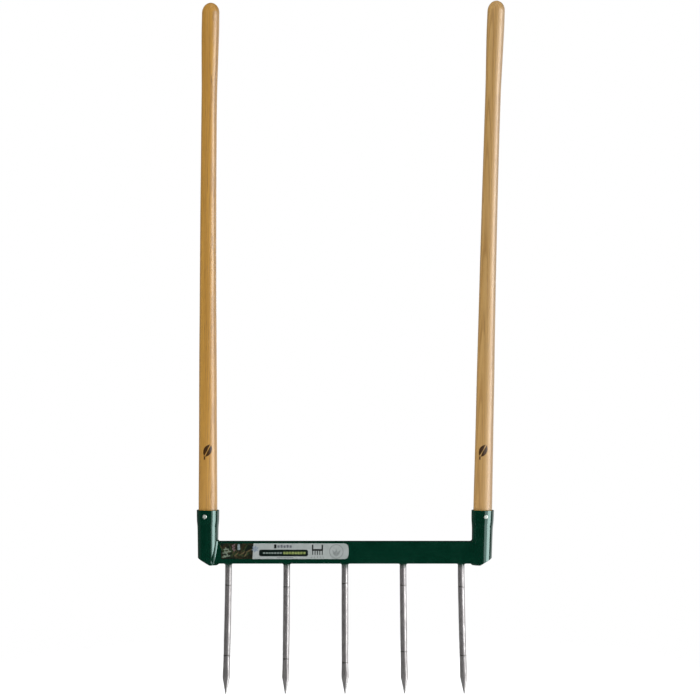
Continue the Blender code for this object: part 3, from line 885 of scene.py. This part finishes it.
def make_sides():
    """Both handles with their sockets, screws and welds."""
    for name, side, seed in (("left", -1, 1), ("right", 1, 2)):
        placing = socket_placing(side)
        length, mark_shift, pale, deep = HANDLES[name]
        wood = ash(f"ash_{name}", placing, seed, (38.0 * side, 46.0), mark_shift, pale, deep)
        handle = handle_shape(length, seed)
        add_piece(f"{name}_handle_ash", handle, [wood], f"{name}_handle", placing, 60.0)
        paint = green_paint(f"green_{name}_socket", seed)
        tube = socket_shape(side)
        add_piece(f"{name}_socket_tube", tube, [paint], f"{name}_socket", placing)
        bead = socket_weld_shape(side, seed)
        add_piece(f"{name}_socket_bead", bead, [paint], f"{name}_socket_weld", None, 60.0)
        plating = zinc(f"zinc_{name}")
        node = f"{name}_handle_screw"
        add_piece(f"{name}_screw", screw_shape(), [plating], node, screw_placing(side), 50.0)


def make_tines(paint):
    for i in range(TINE_COUNT):
        number = i + 1
        x = (i - (TINE_COUNT - 1) / 2) * TINE_PITCH
        steel = forged_steel(f"steel_{number}", number)
        bar = tine_shape(x, number)
        add_piece(f"tine_{number}_bar", bar, [steel], f"tine_{number}", None, 50.0)
        bead = tine_weld_shape(x, number)
        add_piece(f"tine_{number}_bead", bead, [paint], f"tine_weld_{number}", None, 60.0)


def make_beam():
    paint = green_paint("green_beam", 3)
    beam = add_piece("beam_tube", beam_shape(), [paint], "crossbeam", None, 50.0)
    beam.modifiers.new("even_normals", "WEIGHTED_NORMAL").keep_sharp = True
    return paint


def make_label():
    inks = label_inks()
    names = list(inks)
    shape, slots = label_shape(names)
    add_piece("beam_label", shape, list(inks.values()), "front_label", None, 30.0, slots)


# ---------------------------------------------------------------- studio

CAMERA_PLACE = Vector((-0.0269, -3.2, 0.3152))  # from the middle of the beam's underside
CAMERA_YAW = math.radians(-0.639)
CAMERA_PITCH = math.radians(1.254)
CAMERA_ROLL = math.radians(-0.064)
CAMERA_LENS = 90.92

# Each glow's direction from the front round by the right, where it fades out and where it is full, as the
# cosine of the angle off that direction, and its strength
GLOWS = ((math.radians(135.0), 0.86, 0.97, 1.0), (math.radians(-125.0), 0.6, 0.95, 0.08))
FLOOR_RADIUS = 0.9
FLOOR_SOLID = 0.3  # radius inside which the floor hides the white surroundings completely


def make_floor():
    """A plain pale floor whose rim fades into the white surroundings."""
    finish = Finish("studio_floor")
    grain = finish.noise(finish.place((0.4, 0.4, 0.4)), 1.0, 3.0)
    distance = finish.add("VectorMath", {0: finish.place((MM, MM, 0.0))}, output="Value", operation="LENGTH")
    finish.set(Base_Color=finish.blend(grain, (0.84, 0.84, 0.84), (0.88, 0.88, 0.88)), Roughness=0.9)
    finish.set(Emission_Color=(1.0, 1.0, 1.0, 1.0), Emission_Strength=0.62)
    finish.set(Alpha=finish.ease(distance, FLOOR_RADIUS * 0.9, FLOOR_SOLID))
    rings = [[(0.0, 0.0, 0.0)]]
    for radius in (FLOOR_SOLID, FLOOR_RADIUS):
        rings.append([(*point, 0.0) for point in disc(0.0, 0.0, radius, 96)])
    points, faces = skin(rings)
    mesh = bpy.data.meshes.new("studio_floor")
    mesh.from_pydata(points, [], faces)
    mesh.materials.append(finish.block)
    floor = bpy.data.objects.new("studio_floor", mesh)
    floor.location = (0.0, 0.0, -0.0002)
    floor.visible_glossy = False
    bpy.context.scene.collection.objects.link(floor)


def make_world():
    """White to the camera, nearly dark to the fork, with a glow behind its right and a dim one opposite."""
    world = bpy.data.worlds.new("studio")
    world.use_nodes = True
    tree = world.node_tree
    tree.nodes.clear()

    def add(kind, links, **values):
        node = tree.nodes.new("ShaderNode" + kind)
        for place, value in values.items():
            node.inputs[place.replace("_", " ")].default_value = value
        for place, socket in links.items():
            tree.links.new(socket, node.inputs[place])
        return node

    direction = add("TexCoord", {}).outputs["Generated"]
    strength = None
    for turn, low, high, bright in GLOWS:
        aim = add("VectorMath", {0: direction})
        aim.operation = "DOT_PRODUCT"
        aim.inputs[1].default_value = (math.sin(turn), -math.cos(turn), 0.0)
        glow = add("MapRange", {"Value": aim.outputs["Value"]}, From_Min=low, From_Max=high, To_Max=bright)
        glow.interpolation_type = "SMOOTHSTEP"
        if strength is None:
            glow.inputs["To Min"].default_value = 0.01
            strength = glow.outputs[0]
        else:
            strength = add("Math", {0: strength, 1: glow.outputs[0]}).outputs[0]
    lit = add("Background", {"Strength": strength}, Color=(1.0, 1.0, 1.0, 1.0))
    white = add("Background", {}, Color=(1.0, 1.0, 1.0, 1.0))
    seen = add("LightPath", {}).outputs["Is Camera Ray"]
    choose = add("MixShader", {0: seen, 1: lit.outputs[0], 2: white.outputs[0]})
    add("OutputWorld", {0: choose.outputs[0]})
    bpy.context.scene.world = world


def add_softbox(name, place, target, width, height, power):
    """A rectangular light, out of the camera's sight."""
    lamp = bpy.data.lights.new(name, "AREA")
    lamp.shape = "RECTANGLE"
    lamp.size = width
    lamp.size_y = height
    lamp.energy = power
    light = bpy.data.objects.new(name, lamp)
    light.location = place
    light.rotation_euler = (Vector(target) - Vector(place)).to_track_quat("-Z", "Y").to_euler()
    light.visible_camera = False
    bpy.context.scene.collection.objects.link(light)
    return light


def make_lights():
    """Soft light that the fork doesn't mirror, and two panels at its right that it does."""
    y = ORIGIN.y * MM
    for light in (
        add_softbox("left_fill", (-2.6, -3.2, 1.6), (0.0, 0.0, 0.6), 1.8, 2.8, 122.0),
        add_softbox("right_key", (4.4, -1.8, 1.2), (0.0, 0.0, 0.6), 1.8, 3.2, 112.0),
        add_softbox("overhead", (0.2, -0.3, 2.6), (0.0, 0.0, 0.0), 1.6, 1.6, 12.0),
        add_softbox("rear_fill", (0.6, 2.2, 1.2), (0.0, 0.0, 0.6), 1.2, 1.4, 40.0),
    ):
        light.visible_glossy = False
    for light in (
        add_softbox("right_panel", (2.38, y - 0.74, 0.15), (0.0, y, 0.15), 1.55, 3.0, 90.0),
        add_softbox("corner_panel", (0.76, y - 0.72, 0.35), (0.0, y, 0.35), 0.5, 2.4, 7.0),
    ):
        light.visible_diffuse = False


def make_camera():
    camera = bpy.data.objects.new("camera", bpy.data.cameras.new("camera"))
    camera.data.lens = CAMERA_LENS
    camera.data.sensor_width = 36.0
    turn = Matrix.Rotation(CAMERA_YAW, 4, "Z") @ Matrix.Rotation(CAMERA_PITCH, 4, "X")
    turn = turn @ Matrix.Rotation(CAMERA_ROLL, 4, "Y") @ Matrix.Rotation(math.pi / 2, 4, "X")
    camera.matrix_world = Matrix.Translation(ORIGIN * MM + CAMERA_PLACE) @ turn
    bpy.context.scene.collection.objects.link(camera)
    bpy.context.scene.camera = camera
    bpy.context.scene.view_settings.view_transform = "Standard"


make_sides()
make_tines(make_beam())
make_label()
make_floor()
make_world()
make_lights()
make_camera()
